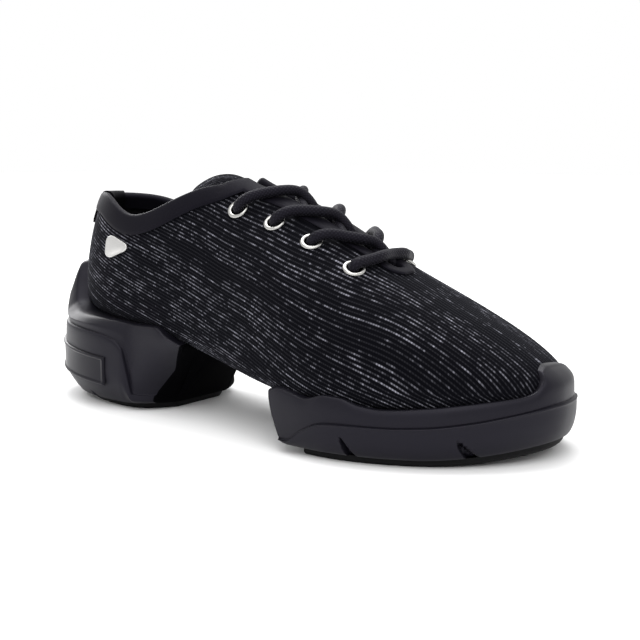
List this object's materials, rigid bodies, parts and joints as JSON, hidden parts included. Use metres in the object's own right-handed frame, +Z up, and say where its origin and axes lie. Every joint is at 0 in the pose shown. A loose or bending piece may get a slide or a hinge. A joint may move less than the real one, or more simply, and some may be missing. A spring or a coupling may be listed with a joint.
{
  "type": "dance sneaker",
  "caption": "Low split-sole dance sneaker: knit upper with taped collar and throat, laced eyelets, tongue, raised heel cup and a separate forefoot cup sole with a flat turning pad.",
  "frame": {"origin": "on the floor, at the middle of the flat pad under the ball of the foot", "axes": "+X to the toe, +Y to the inner (medial) side, +Z up from the floor"},
  "size_m": [0.2607, 0.102, 0.1103],
  "materials": {
    "knit": "black ribbed knit with silver yarn flecks",
    "tape": "smooth woven tape with a satin sheen",
    "lining": "matt brushed fabric over foam",
    "sole_foam": "moulded black foam, soft satin",
    "tread_rubber": "matt black rubber",
    "plate_rubber": "moulded black rubber, blank face",
    "badge_metal": "bare metal, softly polished",
    "eyelet_metal": "bright nickel",
    "lace": "round braided cord, matt"
  },
  "bodies": {
    "root": {"upper": "knit", "collar_binding": "tape", "heel_tab": "tape", "tongue": "knit", "insole": "lining", "forefoot_midsole": "sole_foam", "heel_midsole": "sole_foam", "forefoot_tread": "tread_rubber", "heel_tread": "tread_rubber", "heel_plate": "plate_rubber", "badge": "badge_metal", "lace_bar": "lace", "lace_crossing_1": "lace", "lace_crossing_2": "lace", "lace_crossing_3": "lace", "eyelet_lateral_1": "eyelet_metal", "eyelet_lateral_2": "eyelet_metal", "eyelet_lateral_3": "eyelet_metal", "eyelet_lateral_4": "eyelet_metal", "eyelet_medial_1": "eyelet_metal", "eyelet_medial_2": "eyelet_metal", "eyelet_medial_3": "eyelet_metal", "eyelet_medial_4": "eyelet_metal"}
  },
  "joints": []
}
